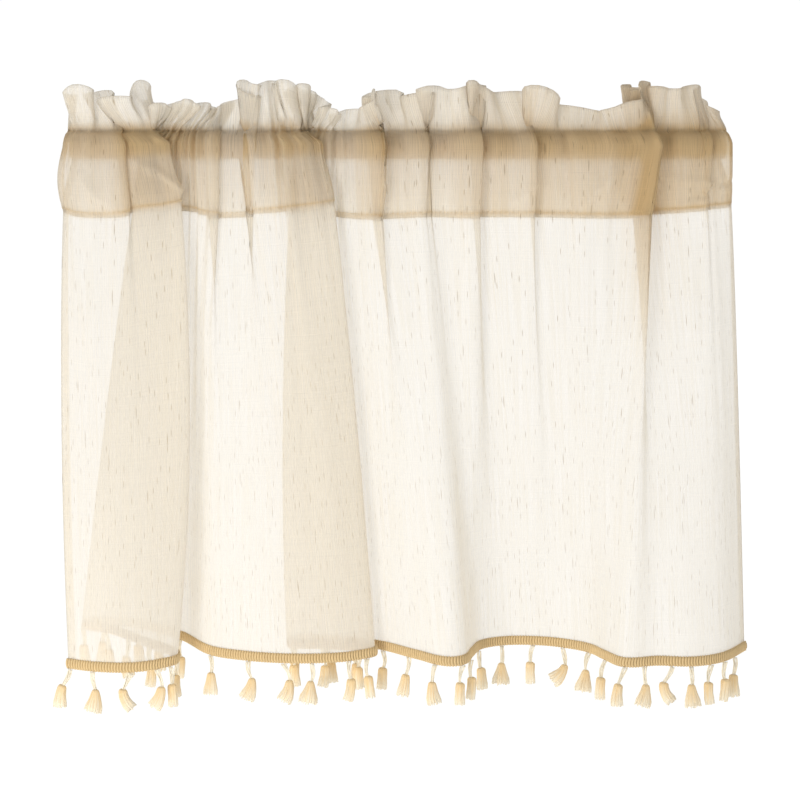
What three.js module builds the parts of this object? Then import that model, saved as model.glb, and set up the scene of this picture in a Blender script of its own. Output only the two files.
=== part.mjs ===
// A sheer cafe curtain with a ruffled rod pocket, gathered on a plain round rod, with a braid and tassels sewn
// along its hem. Millimetres, +Z up, the room side of the curtain faces -Y. The origin is the centre of the rod's
// left end face, and the rod runs along +X.

import * as THREE from "three";

// Driving dimensions
const ROD_DIAMETER = 25;
const ROD_LENGTH = 692;
const ROD_SIDES = 40;
const CLOTH = 1.2; // thickness of one layer of cloth
const SEAT_GAP = 0.3; // clearance between pieces that touch on the real curtain
const UPPER_STITCH_Z = 16.5; // seam between the pocket and the ruffle
const POCKET_APEX_Z = 15.5; // where the two walls of the pocket part above the rod
const POCKET_FLAT_Z = -40; // below here the pocket's two walls hang flat, one on the other
const POCKET_FLAT_DEPTH = 0.8; // how far forward it hangs there, as a share of the seam's depth
const STITCH_Z = -69; // seam under the pocket
const HEM_Z = -551; // lower edge of the cloth
const BRAID_WIDTH = 11;
const BRAID_THICKNESS = 2;
const BRAID_GAP = 0.65; // clearance of the braid from the cloth, more than the seat gap for the tight turns
const CORD_LENGTH = 20;
const CORD_RADIUS = 1.5;
const HEM_REACH = 3; // how far along the hem a cord keeps clear of it
const TASSEL_LENGTH = 24;
const TASSEL_HEAD_RADIUS = 3.6;
const TASSEL_FLATNESS = 0.6; // a tassel's depth as a share of its width
const TASSEL_SIDES = 6;

const ACROSS = 0.986; // the places in the fold and tassel tables are in steps of this many millimetres
const CLOTH_SHIFT = -3; // the gathered cloth sits a little to the left of the rod's middle

const STEPS_PER_FOLD = 3; // columns of facets between two rows of the fold table
const BODY_STEPS = 4; // rows of facets from the pocket's seam to the hem

// One row for each ridge, valley or turn of the cloth, from its left edge to its right edge.
// X is measured from the middle of the gathered cloth. top is the ruffle's free edge. rodX and belly place the pocket's
// front wall at the rod, belly being how far it stands off the rod. stitch is the seam under the pocket and
// raise lifts that seam. hem is the lower edge, bow pushes the cloth sideways halfway down, and tuck lifts the hem
// where a fold hides it.
const FOLD_COLUMNS =
  "name topX topY topZ rodX belly stitchX stitchY raise hemX hemY bow tuck".split(" ");
const SCALED_COLUMNS = "topX topY rodX stitchX stitchY hemX hemY bow".split(" ");
const FOLDS = [
  ["left edge", -351, -8, 51, -351, 2, -356, -22, 2, -355, -64, -4, 0],
  ["first front", -336, -26, 59, -334, 6, -331, -27, -3, -322, -76, 0, 0],
  ["first front middle", -316, 6, 55, -309, 9, -295, -31, -2, -284, -79, 0, 0],
  ["first front right", -291, -24, 47, -287, 4, -259, -33, 4, -257, -67, 4, 0],
  ["first turn", -271, 0, 66, -270, 12, -227, -30, 10, -239, -42, 12, 0],
  ["first return", -261, 16, 43, -261, 3, -243, -23, 9, -279, -8, 6, 6],
  ["first return left", -247, -20, 41, -252, 11, -262, -16, 6, -325, 32, 0, 9],
  ["first back turn", -238, 18, 43, -244, 2, -281, -9, 4, -364, 62, 0, 9],
  ["second start", -222, -22, 44, -234, 12, -255, -3, 3, -317, 66, 0, 9],
  ["second hidden", -205, 8, 43, -218, 3, -219, -8, 3, -243, 24, 0, 5],
  ["second side", -186, 20, 44, -197, 12, -196, -20, -4, -205, -16, 0, 0],
  ["second front", -168, 8, 49, -173, 3, -172, -12, -3, -163, -37, 0, 0],
  ["second front middle", -151, -14, 64, -153, 12, -148, -20, 0, -123, -46, 0, 0],
  ["second front right", -132, 6, 67, -134, 3, -120, -26, 3, -82, -46, 0, 0],
  ["second shoulder", -119, -18, 64, -120, 13, -92, -30, 6, -46, -37, 0, 0],
  ["second turn", -108, 12, 57, -109, 2, -66, -28, 10, -22, -14, 2, 0],
  ["second return", -97, -12, 60, -99, 11, -90, -19, 6, -74, 3, -2, 0],
  ["second back turn", -84, 16, 51, -89, 2, -113, -8, 2, -123, 16, -6, 0],
  ["third start", -70, -18, 38, -77, 9, -87, -3, 0, -71, 24, -2, 0],
  ["third hidden", -52, 14, 36, -55, 1, -51, -9, -4, -17, 4, 0, 0],
  ["third side", -27, -24, 54, -25, 9, -21, -20, -6, 25, -32, 0, 0],
  ["third front", -1, 14, 56, 7, 2, 11, -11, -4, 61, -58, 0, 0],
  ["third edge", 22, -6, 54, 23, 7, 26, -16, -3, 75, -51, 0, 0],
  ["third wall", 44, -22, 60, 46, 1, 49, -9, -3, 85, -22, 0, 0],
  ["valley left", 69, 6, 62, 70, 8, 72, -18, -4, 96, 5, 0, 0],
  ["valley", 95, -20, 64, 96, 1, 98, -8, -3, 123, 20, 0, 0],
  ["valley middle", 125, 14, 56, 130, 7, 135, -15, -3, 165, 20, 0, 0],
  ["valley right", 161, -18, 60, 156, 1, 163, -8, -3, 191, 11, 0, 0],
  ["fourth side", 193, 12, 40, 188, 6, 197, -16, -4, 218, -8, 0, 0],
  ["fourth shoulder", 223, -15, 43, 220, 2, 230, -15, -4, 233, -36, 0, 0],
  ["fourth pleat", 245, -8, 64, 252, 12, 261, -30, -2, 249, -60, 4, 0],
  ["fourth pleat back", 269, 16, 63, 274, 3, 268, -11, 0, 286, -55, 0, 0],
  ["fourth front", 296, -14, 60, 300, 10, 298, -9, 0, 323, -58, 0, 0],
  ["fourth right", 320, 10, 62, 328, 4, 330, -20, 4, 356, -44, 0, 0],
  ["right edge", 349, -2, 34, 354, 3, 363, -8, 8, 394, 2, 0, 0],
].map((row) => {
  const fold = Object.fromEntries(FOLD_COLUMNS.map((column, i) => [column, row[i]]));
  for (const column of SCALED_COLUMNS) fold[column] *= ACROSS;
  return fold;
});

// One row for each tassel: where it hangs along the hem from the left edge, how far its cord and its skirt lean
// to the right in degrees, and the width of its skirt at the ends of its threads.
const TASSEL_COLUMNS = "along cordLean skirtLean width".split(" ");
const TASSELS = [
  [5, -26, -10, 14],
  [33, 6, -8, 19],
  [73, -24, 20, 13],
  [102, 12, -18, 15],
  [118, 4, 2, 10],
  [148, -4, 3, 10],
  [186, 6, -4, 12],
  [223, -8, 5, 14],
  [260, 5, 8, 11],
  [297, 0, 4, 12],
  [334, -6, -5, 13],
  [371, 8, 4, 12],
  [406, -3, 6, 11],
  [439, 2, -6, 11],
  [497, 0, -3, 16],
  [545, 12, -14, 18],
  [585, 18, -13, 17],
  [616, -4, -8, 21],
  [656, 8, -8, 11],
  [677, 4, 6, 10],
  [724, -5, 4, 11],
  [763, 6, -6, 12],
  [795, 3, 5, 11],
  [830, -6, -4, 12],
  [864, 5, 6, 11],
  [898, -3, -5, 12],
  [932, -2, -3, 11],
  [970, -8, -9, 14],
  [1009, -10, 5, 16],
  [1040, -8, -2, 11],
  [1061, 3, -3, 10],
  [1096, 8, 4, 12],
  [1132, 0, -2, 20],
  [1169, -8, 0, 10],
  [1204, 8, -34, 18],
  [1238, -8, -8, 19],
  [1270, -12, -3, 11],
  [1301, -20, -5, 13],
  [1322, 4, -8, 18],
  [1353, -26, 20, 12],
  [1373, 2, 6, 18],
  [1397, -8, 4, 10],
  [1417, 3, -3, 9],
  [1438, -2, 4, 12],
].map((row) => {
  const tassel = Object.fromEntries(TASSEL_COLUMNS.map((column, i) => [column, row[i]]));
  tassel.along *= ACROSS;
  return tassel;
});

const COLOURS = { cloth: 0xe9dcc3, braid: 0xe3c48f, tassel: 0xe6c693, rod: 0x8d7349 };

const lerp = THREE.MathUtils.lerp;
const smooth = (t) => t * t * (3 - 2 * t);

// Cubic through the knots at places, with slopes from the neighbouring knots.
function interpolate(places, values, place) {
  const last = places.length - 1;
  let i = 0;
  while (i < last - 1 && place > places[i + 1]) i += 1;
  const slope = (k) => {
    const before = Math.max(k - 1, 0);
    const after = Math.min(k + 1, last);
    return (values[after] - values[before]) / (places[after] - places[before]);
  };
  const span = places[i + 1] - places[i];
  const t = (place - places[i]) / span;
  const rise = values[i + 1] - values[i];
  const from = slope(i) * span;
  const to = slope(i + 1) * span;
  return values[i] + t * (from + t * (3 * rise - 2 * from - to + t * (from + to - 2 * rise)));
}

// The hem as a smooth plan curve. Each knot's direction follows its neighbours, so a turn of the cloth is a
// rounded loop and not a crease.
function hemCurve() {
  const knots = FOLDS.map((fold) => new THREE.Vector2(fold.hemX, fold.hemY));
  const aims = knots.map((knot, i) => {
    const before = knots[Math.max(i - 1, 0)];
    const after = knots[Math.min(i + 1, knots.length - 1)];
    const incoming = knot.clone().sub(before).normalize();
    const outgoing = after.clone().sub(knot).normalize();
    return incoming.add(outgoing).normalize();
  });
  const reach = (i) => knots[i].distanceTo(knots[i + 1]);
  const pointAt = (i, t) => {
    const handle = reach(i) / 3;
    const bezier = new THREE.CubicBezierCurve(
      knots[i],
      knots[i].clone().addScaledVector(aims[i], handle),
      knots[i + 1].clone().addScaledVector(aims[i + 1], -handle),
      knots[i + 1],
    );
    return bezier.getPoint(t);
  };
  return pointAt;
}

const hemPoint = hemCurve();

// Length of cloth from the left edge to each fold, taken along the hem, which is the widest level.
const HEM_SAMPLES = 12;
const foldPlaces = [0];
for (let i = 0; i < FOLDS.length - 1; i += 1) {
  let length = 0;
  for (let k = 0; k < HEM_SAMPLES; k += 1) {
    length += hemPoint(i, k / HEM_SAMPLES).distanceTo(hemPoint(i, (k + 1) / HEM_SAMPLES));
  }
  foldPlaces.push(foldPlaces[i] + length);
}
const FLAT_WIDTH = foldPlaces.at(-1);

const tableValue = (column, along) =>
  interpolate(
    foldPlaces,
    FOLDS.map((fold) => fold[column]),
    along,
  );

// A point of the hem at a length of cloth from the left edge.
function hemAt(along) {
  let i = 0;
  while (i < FOLDS.length - 2 && along > foldPlaces[i + 1]) i += 1;
  return hemPoint(i, (along - foldPlaces[i]) / (foldPlaces[i + 1] - foldPlaces[i]));
}

// The middle of the cloth between the pocket's seam (share 0) and the hem (share 1).
function bodyPoint(along, share) {
  const hem = hemAt(along);
  const fan = Math.pow(share, 0.9);
  const x = lerp(tableValue("stitchX", along), hem.x, fan);
  const y = lerp(tableValue("stitchY", along), hem.y, fan);
  const sideways = tableValue("bow", along) * 4 * share * (1 - share);
  const eased = smooth(share);
  const raised = lerp(tableValue("raise", along), tableValue("tuck", along), eased);
  return new THREE.Vector3(x + sideways, y, lerp(STITCH_Z, HEM_Z, share) + raised);
}

// The pocket's walls where they pass the rod: the inner face's stand-off at each height.
const ROD_RADIUS = ROD_DIAMETER / 2;
const POCKET_LEVELS = [
  { z: -16, standOff: ROD_RADIUS - 3.2 },
  { z: 0, standOff: ROD_RADIUS + 0.9 },
  { z: 10, standOff: ROD_RADIUS - 2 },
];
const BELLY_MEAN = 6;

function pocketWalls(along, level) {
  const x = tableValue("rodX", along);
  const belly = Math.max(0, tableValue("belly", along));
  const front = level.standOff + belly;
  const back = level.standOff + Math.max(0, 1.4 * BELLY_MEAN - 0.7 * belly);
  return [-front - CLOTH, -front, back, back + CLOTH].map((y) => new THREE.Vector3(x, y, level.z));
}

// The seam above the rod and the ruffle over it, from the seam (share 0) to the free edge (share 1).
function rufflePoint(along, share) {
  const base = new THREE.Vector3(tableValue("rodX", along), 0, UPPER_STITCH_Z);
  const top = new THREE.Vector3(...["topX", "topY", "topZ"].map((column) => tableValue(column, along)));
  const point = base.lerp(top, share);
  point.y *= lerp(0.8, 1, share);
  return point;
}

// The middle of the pocket where its two walls hang flat against each other. The folds of the cloth open out below.
function pocketFlatPoint(along) {
  const depth = POCKET_FLAT_DEPTH * tableValue("stitchY", along);
  return new THREE.Vector3(tableValue("rodX", along), depth, POCKET_FLAT_Z);
}

// Moves a point sideways from the cloth's middle. Positive is the face side.
function offsetPoint(pointAt, along, distance) {
  const step = 1;
  const before = pointAt(Math.max(along - step, 0));
  const after = pointAt(Math.min(along + step, FLAT_WIDTH));
  const across = new THREE.Vector3(after.y - before.y, before.x - after.x, 0).normalize();
  return pointAt(along).addScaledVector(across, distance);
}

// The cloth's section at one place along its width, as four chains of points that run upwards: the face, the back
// and the two inner sides of the pocket, which meet at both ends of the pocket.
function clothSection(along) {
  const face = [];
  const back = [];
  for (let i = BODY_STEPS; i >= 0; i -= 1) {
    const share = i / BODY_STEPS;
    const half = i === 0 ? CLOTH : CLOTH / 2;
    face.push(offsetPoint((s) => bodyPoint(s, share), along, half));
    back.push(offsetPoint((s) => bodyPoint(s, share), along, -half));
  }
  face.push(offsetPoint(pocketFlatPoint, along, CLOTH));
  back.push(offsetPoint(pocketFlatPoint, along, -CLOTH));
  const lowEnd = pocketFlatPoint(along);
  const highEnd = rufflePoint(along, 0).setZ(POCKET_APEX_Z);
  const insideFront = [lowEnd];
  const insideBack = [lowEnd];
  for (const level of POCKET_LEVELS) {
    const walls = pocketWalls(along, level);
    face.push(walls[0]);
    insideFront.push(walls[1]);
    insideBack.push(walls[2]);
    back.push(walls[3]);
  }
  insideFront.push(highEnd);
  insideBack.push(highEnd);
  for (const share of [0, 0.5, 1]) {
    face.push(offsetPoint((s) => rufflePoint(s, share), along, CLOTH));
    back.push(offsetPoint((s) => rufflePoint(s, share), along, -CLOTH));
  }
  return { face, back, insideFront, insideBack };
}

// A closed skin over a row of sections. Neighbouring sections are joined chain by chain, and the first and last
// sections are filled in.
function skin(sections) {
  const points = [];
  const triangles = [];
  const numbers = new Map();
  const number = (point) => {
    if (!numbers.has(point)) {
      numbers.set(point, points.length);
      points.push(point);
    }
    return numbers.get(point);
  };
  const quad = (...corners) => {
    const [a, b, c, d] = corners.map(number);
    if (a !== b && b !== c) triangles.push(a, b, c);
    if (c !== d && d !== a) triangles.push(a, c, d);
  };
  // Every chain is cut along the same diagonal, so that both faces of a twisted layer stay parallel.
  const strip = (left, right) => {
    for (let k = 0; k < left.length - 1; k += 1) quad(left[k], right[k], right[k + 1], left[k + 1]);
  };
  const backStrip = (left, right) => {
    for (let k = 0; k < left.length - 1; k += 1) quad(left[k], left[k + 1], right[k + 1], right[k]);
  };
  for (let column = 0; column < sections.length - 1; column += 1) {
    const here = sections[column];
    const next = sections[column + 1];
    strip(here.face, next.face);
    backStrip(here.back, next.back);
    quad(here.back[0], next.back[0], next.face[0], here.face[0]);
    quad(here.face.at(-1), next.face.at(-1), next.back.at(-1), here.back.at(-1));
    if (!here.insideFront) continue;
    backStrip(here.insideFront, next.insideFront);
    strip(here.insideBack, next.insideBack);
  }
  const fill = ({ face, back, insideFront, insideBack }, join) => {
    if (!insideFront) {
      join(back, face);
      return;
    }
    const low = BODY_STEPS + 1;
    const high = low + insideFront.length - 1;
    join(back.slice(0, low + 1), face.slice(0, low + 1));
    join(insideFront, face.slice(low, high + 1));
    join(back.slice(low, high + 1), insideBack);
    join([back[low], insideFront[0]], [face[low], insideFront[0]]);
    join([insideFront.at(-1), back[high]], [insideFront.at(-1), face[high]]);
    join(back.slice(high), face.slice(high));
  };
  fill(sections[0], strip);
  fill(sections.at(-1), (left, right) => strip(right, left));
  const geometry = new THREE.BufferGeometry().setFromPoints(points);
  geometry.setIndex(triangles);
  geometry.computeVertexNormals();
  return geometry;
}

function columnPlaces() {
  const places = [];
  for (let i = 0; i < FOLDS.length - 1; i += 1) {
    for (let k = 0; k < STEPS_PER_FOLD; k += 1) {
      places.push(lerp(foldPlaces[i], foldPlaces[i + 1], k / STEPS_PER_FOLD));
    }
  }
  return [...places, FLAT_WIDTH];
}

const panelGeometry = () => skin(columnPlaces().map(clothSection));

// The braid lies on the face of the hem, its lower edge level with the cloth's.
function braidGeometry() {
  const inner = CLOTH / 2 + BRAID_GAP;
  const outer = inner + BRAID_THICKNESS;
  const topShare = 1 - BRAID_WIDTH / (STITCH_Z - HEM_Z);
  const section = (along) => {
    const at = (share, distance) => offsetPoint((s) => bodyPoint(s, share), along, distance);
    return { face: [at(1, outer), at(topShare, outer)], back: [at(1, inner), at(topShare, inner)] };
  };
  return skin(columnPlaces().map(section));
}

// A cord and a skirt of threads, lofted down a path that leans twice.
function tasselGeometry({ along, cordLean, skirtLean, width }) {
  const middle = CLOTH / 2 + BRAID_GAP + BRAID_THICKNESS / 2;
  const place = (s) => THREE.MathUtils.clamp(s, 0, FLAT_WIDTH);
  const start = offsetPoint((s) => bodyPoint(s, 1), place(along), middle);
  // The cord ends under the lowest point of the hem near it, so that it stays clear where the hem slopes.
  const nearby = [-HEM_REACH, 0, HEM_REACH].map((step) => bodyPoint(place(along + step), 1).z);
  start.z = Math.min(...nearby) - SEAT_GAP;
  const direction = (degrees) => {
    const angle = THREE.MathUtils.degToRad(degrees);
    return new THREE.Vector3(Math.sin(angle), 0, -Math.cos(angle));
  };
  const neck = start.clone().addScaledVector(direction(cordLean), CORD_LENGTH);
  const stations = [
    { centre: start, lean: 0, radius: CORD_RADIUS, flatness: 1 },
    { centre: neck, lean: cordLean, radius: CORD_RADIUS, flatness: 1 },
    ...[0.05, 0.45, 1].map((share) => ({
      centre: neck.clone().addScaledVector(direction(skirtLean), TASSEL_LENGTH * share),
      lean: skirtLean,
      radius: lerp(TASSEL_HEAD_RADIUS, width / 2, share),
      flatness: lerp(1, TASSEL_FLATNESS, share),
    })),
  ];
  const rings = stations.map(({ centre, lean, radius, flatness }) => {
    const sideways = direction(lean + 90);
    return Array.from({ length: TASSEL_SIDES }, (_, k) => {
      const turn = (2 * Math.PI * k) / TASSEL_SIDES;
      const point = centre.clone().addScaledVector(sideways, radius * Math.cos(turn));
      point.y += radius * flatness * Math.sin(turn);
      return point;
    });
  });
  return loft(rings);
}

// A closed skin over rings of equal size, each turned the same way round, ended by flat fans.
function loft(rings) {
  const size = rings[0].length;
  const triangles = [];
  for (let ring = 0; ring < rings.length - 1; ring += 1) {
    for (let k = 0; k < size; k += 1) {
      const a = ring * size + k;
      const b = ring * size + ((k + 1) % size);
      triangles.push(a, a + size, b + size, a, b + size, b);
    }
  }
  const lastRing = (rings.length - 1) * size;
  for (let k = 1; k < size - 1; k += 1) {
    triangles.push(0, k, k + 1);
    triangles.push(lastRing, lastRing + k + 1, lastRing + k);
  }
  const geometry = new THREE.BufferGeometry().setFromPoints(rings.flat());
  geometry.setIndex(triangles);
  geometry.computeVertexNormals();
  return geometry;
}

function rodGeometry() {
  const geometry = new THREE.CylinderGeometry(ROD_RADIUS, ROD_RADIUS, ROD_LENGTH, ROD_SIDES);
  return geometry.rotateZ(Math.PI / 2);
}

const finish = (color, roughness, metalness = 0) =>
  new THREE.MeshStandardMaterial({ color, roughness, metalness, side: THREE.FrontSide });

function piece(name, geometry, material) {
  const mesh = new THREE.Mesh(geometry, material);
  mesh.name = name;
  return mesh;
}

const curtain = new THREE.Group();
curtain.name = "cafe_curtain";
const onRod = new THREE.Group();
onRod.position.x = ROD_LENGTH / 2;
curtain.add(onRod);
const hanging = new THREE.Group();
hanging.position.x = CLOTH_SHIFT;
onRod.add(hanging);

onRod.add(piece("rod", rodGeometry(), finish(COLOURS.rod, 0.45, 0.6)));
hanging.add(piece("panel", panelGeometry(), finish(COLOURS.cloth, 0.9)));
hanging.add(piece("hem_braid", braidGeometry(), finish(COLOURS.braid, 0.85)));
const tasselFinish = finish(COLOURS.tassel, 0.85);
TASSELS.forEach((tassel, i) => {
  const name = `tassel_${String(i + 1).padStart(2, "0")}`;
  hanging.add(piece(name, tasselGeometry(tassel), tasselFinish));
});

export default curtain;
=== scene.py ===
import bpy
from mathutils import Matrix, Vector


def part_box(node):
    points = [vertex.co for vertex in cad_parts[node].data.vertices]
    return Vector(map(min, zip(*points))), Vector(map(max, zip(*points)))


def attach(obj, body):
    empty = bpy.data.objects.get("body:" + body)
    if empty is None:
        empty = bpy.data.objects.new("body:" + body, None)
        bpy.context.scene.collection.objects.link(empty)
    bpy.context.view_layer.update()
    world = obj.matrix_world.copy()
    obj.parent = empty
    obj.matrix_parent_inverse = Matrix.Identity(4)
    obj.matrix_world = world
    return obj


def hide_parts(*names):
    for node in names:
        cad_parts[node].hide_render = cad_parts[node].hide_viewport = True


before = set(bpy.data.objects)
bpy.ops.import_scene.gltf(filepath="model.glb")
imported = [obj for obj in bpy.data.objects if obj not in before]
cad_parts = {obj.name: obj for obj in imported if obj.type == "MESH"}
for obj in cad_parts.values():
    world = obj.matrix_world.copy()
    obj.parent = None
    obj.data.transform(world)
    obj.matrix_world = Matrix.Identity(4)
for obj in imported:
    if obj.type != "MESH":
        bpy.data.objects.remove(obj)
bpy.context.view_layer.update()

import math
import random

import bmesh
import bpy
import numpy as np
from bpy.props import FloatProperty, FloatVectorProperty, IntProperty, PointerProperty
from mathutils import Matrix, Vector

bl_info = {
    "name": "Sheer cafe curtain",
    "version": (1, 0, 0),
    "blender": (4, 5, 0),
    "location": "View3D > Sidebar > Curtain",
    "description": "Builds a gathered sheer curtain with a ruffled rod pocket, hem braid and tassels",
    "category": "Object",
}

# The cloth is worked out in millimetres from its own middle, and put in metres from the rod's left end.
MM = 0.001
ROD_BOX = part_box("rod")
CLOTH_SHIFT = -3.0
CLOTH_MIDDLE = (ROD_BOX[0].x + ROD_BOX[1].x) / 2 / MM + CLOTH_SHIFT
ROD_RADIUS = (ROD_BOX[1].z - ROD_BOX[0].z) / 2 / MM

UPPER_SEAM_Z = 16.5
LOWER_SEAM_Z = -69.0
HEM_Z = -551.0
RUFFLE_Z = 55.0  # the ruffle's free edge, on the whole
BODY_DROP = LOWER_SEAM_Z - HEM_Z
POCKET_RUN = 97.0  # cloth in one wall of the pocket
RUFFLE_RUN = 40.0  # cloth in one side of the ruffle
SIDE_HEM = 11.0
HEM_LAYER = 0.55  # how far a side hem's turned layer lies behind the face
EDGE_BULGE = 6.0  # how far the pocket's left edge swells sideways,
EDGE_REACH = 28.0  # and how far along the cloth that fades
LOBE_ROUND = 0.5  # how round the tops of the ruffle's lobes are
ROD_CLEARANCE = 0.8  # the least distance from the cloth to the rod
UV_SPAN = 1600.0

# One row for each fold, from the left edge to the right. top: free edge of the ruffle. rod: where the pocket passes
# the rod. belly: how far it stands off there. seam: the seam under the pocket. lift: how much that seam is drawn up.
# hem: the lower edge. bow: sideways swing half way down. loop: how far the ruffle's waves lean over each other.
# tuck: how far the hem is lifted where a fold hides it.
# Places across, and how far a tassel is along the hem, are in steps of ACROSS millimetres.
ACROSS = 0.986
FOLD_COLUMNS = "top_x top_y top_z rod_x belly seam_x seam_y lift hem_x hem_y bow loop tuck".split()
IN_STEPS = "top_x top_y rod_x seam_x seam_y hem_x hem_y bow".split()
FOLDS = (
    (-351, -8, 51, -351, 2, -356, -22, 2, -355, -64, -4, 4, 0),
    (-336, -26, 59, -334, 6, -331, -27, -3, -322, -76, 0, 8, 0),
    (-316, 6, 55, -309, 9, -295, -31, -2, -284, -79, 0, 7, 0),
    (-291, -24, 47, -287, 4, -259, -33, 4, -257, -67, 4, 8, 0),
    (-271, 0, 66, -270, 12, -227, -30, 10, -239, -42, 12, 6, 0),
    (-261, 16, 43, -261, 3, -243, -23, 9, -279, -8, 6, 7, 6),
    (-247, -20, 41, -252, 11, -262, -16, 6, -325, 32, 0, 7, 9),
    (-238, 18, 43, -244, 2, -281, -9, 4, -364, 62, 0, 6, 9),
    (-222, -22, 44, -234, 12, -255, -3, 3, -317, 66, 0, 8, 9),
    (-205, 8, 43, -218, 3, -219, -8, 3, -243, 24, 0, 6, 5),
    (-186, 20, 44, -197, 12, -196, -20, -4, -205, -16, 0, 7, 0),
    (-168, 8, 49, -173, 3, -172, -12, -3, -163, -37, 0, 5, 0),
    (-151, -14, 64, -153, 12, -148, -20, 0, -123, -46, 0, 9, 0),
    (-132, 6, 67, -134, 3, -120, -26, 3, -82, -46, 0, 4, 0),
    (-119, -18, 64, -120, 13, -92, -30, 6, -46, -37, 0, 9, 0),
    (-108, 12, 57, -109, 2, -66, -28, 10, -22, -14, 2, 8, 0),
    (-97, -12, 60, -99, 11, -90, -19, 6, -74, 3, -2, 9, 0),
    (-84, 16, 51, -89, 2, -113, -8, 2, -123, 16, -6, 7, 0),
    (-70, -18, 38, -77, 9, -87, -3, 0, -71, 24, -2, 4, 0),
    (-52, 14, 36, -55, 1, -51, -9, -4, -17, 4, 0, 6, 0),
    (-27, -24, 54, -25, 9, -21, -20, -6, 25, -32, 0, 9, 0),
    (-1, 14, 56, 7, 2, 11, -11, -4, 61, -58, 0, 8, 0),
    (22, -6, 54, 23, 7, 26, -16, -3, 75, -51, 0, 3, 0),
    (44, -22, 60, 46, 1, 49, -9, -3, 85, -22, 0, 4, 0),
    (69, 6, 62, 70, 8, 72, -18, -4, 96, 5, 0, 5, 0),
    (95, -20, 64, 96, 1, 98, -8, -3, 123, 20, 0, 7, 0),
    (125, 14, 56, 130, 7, 135, -15, -3, 165, 20, 0, 4, 0),
    (161, -18, 60, 156, 1, 163, -8, -3, 191, 11, 0, 5, 0),
    (193, 12, 40, 188, 6, 197, -16, -4, 218, -8, 0, 4, 0),
    (223, -15, 43, 220, 2, 230, -15, -4, 233, -36, 0, 5, 0),
    (245, -8, 64, 252, 12, 261, -30, -2, 249, -60, 4, 7, 0),
    (269, 16, 63, 274, 3, 268, -11, 0, 286, -55, 0, 6, 0),
    (296, -14, 60, 300, 10, 298, -9, 0, 323, -58, 0, 4, 0),
    (320, 10, 62, 328, 4, 330, -20, 4, 356, -44, 0, 5, 0),
    (349, -2, 34, 354, 3, 363, -8, 8, 394, 2, 0, 3, 0),
)

# Pleats that lie flat on the cloth. along: place across the flat cloth. reach: half of the cloth taken up.
# The shifts say how far the pleat's two edges slide over each other at the ruffle's edge, the upper seam, the rod,
# the lower seam, and 100, 250 and 400 mm under that seam. depth: how far its layers part, as a share of the shift.
PLEAT_LEVELS = (RUFFLE_Z, UPPER_SEAM_Z, 0, *(LOWER_SEAM_Z - drop for drop in (0, 100, 250, 400)))
PLEATS = (
    (82, 30, (12, 14, 15, 10, 3, 0, 0), 0.30),
    (495, 34, (12, 13, 13, 10, 3, 0, 0), 0.30),
    (563, 42, (14, 19, 19, 13, 5, 0, 0), 0.30),
    (971, 42, (16, 21, 22, 15, 9, 3, 0), 0.30),
    (1042, 24, (8, 10, 11, 6, 2, 0, 0), 0.30),
    (1107, 40, (16, 20, 21, 17, 11, 4, 0), 0.28),
    (1173, 30, (10, 14, 15, 13, 9, 5, 0), 0.28),
    (1302, 88, (26, 32, 33, 17, 11, 0, 0), 0.24),
    (1398, 24, (7, 9, 9, 3, 0, 0, 0), 0.30),
)

WIDEST_PLEAT = 7
PLEAT_PEAK = 3.494  # makes the longest slide of a pleat equal to its shift
PLEAT_BEHIND = 0.75  # how much less the pocket's back wall slides

# How tightly the cloth is packed on the rod: place along, and share of the densest. The share also darkens the
# cloth's colour, and its peaks and dips are painted shade of the pocket's folds.
PACKING_AND_SHADE = (
    (0, 0.30), (52, 0.12), (66, 0.35), (76, 0.62), (92, 0.60), (104, 0.45), (300, 0.42), (400, 0.40), (440, 0.30),
    (490, 0.22), (506, 0.00), (540, 0.00), (552, 0.42), (572, 0.52), (584, 0.35), (594, 0.05), (604, 0.15),
    (616, 0.38), (760, 0.40), (862, 0.32), (882, 0.00), (928, 0.00), (944, 0.30), (960, 0.58), (980, 0.58),
    (994, 0.20), (1025, 0.08), (1036, 0.38), (1046, 0.38), (1060, 0.10), (1088, 0.25), (1100, 0.62), (1114, 0.62),
    (1128, 0.28), (1160, 0.32), (1170, 0.62), (1180, 0.56), (1194, 0.40), (1240, 0.44), (1252, 0.58), (1264, 1.18),
    (1345, 1.18), (1362, 0.60), (1400, 0.56), (1450, 0.60),
)

# The same share where the cloth is sewn at each seam, pressed on the rod, and hanging in the widest pleat. At the
# upper seam, on the rod and in that pleat the share is mostly painted shade of the crease, of the rod behind the
# cloth and of the pleat's layers.
SEWN_LOW, SEWN_HIGH_SHADE, PRESSED_SHADE, IN_PLEAT_SHADE = 0.40, 0.16, 0.52, 0.80
# The ruffle is loose, and thinner by this share, up to the first of two places along, and no more at the second; this
# also takes painted shade off its colour.
SPREAD = 0.75
SPREAD_END = (940, 1000)

# Small gathers: the length of each set of waves, and its weight. They drift, so that no two are alike.
GATHERS = ((23.0, 1.0), (14.3, 0.4), (41.0, 0.7))
GATHER_DRIFT = 0.35
DRIFT_LENGTH = 5.7
FRONT_SEED, BACK_SEED, PACKED_SEED = 11, 29, 47

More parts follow.
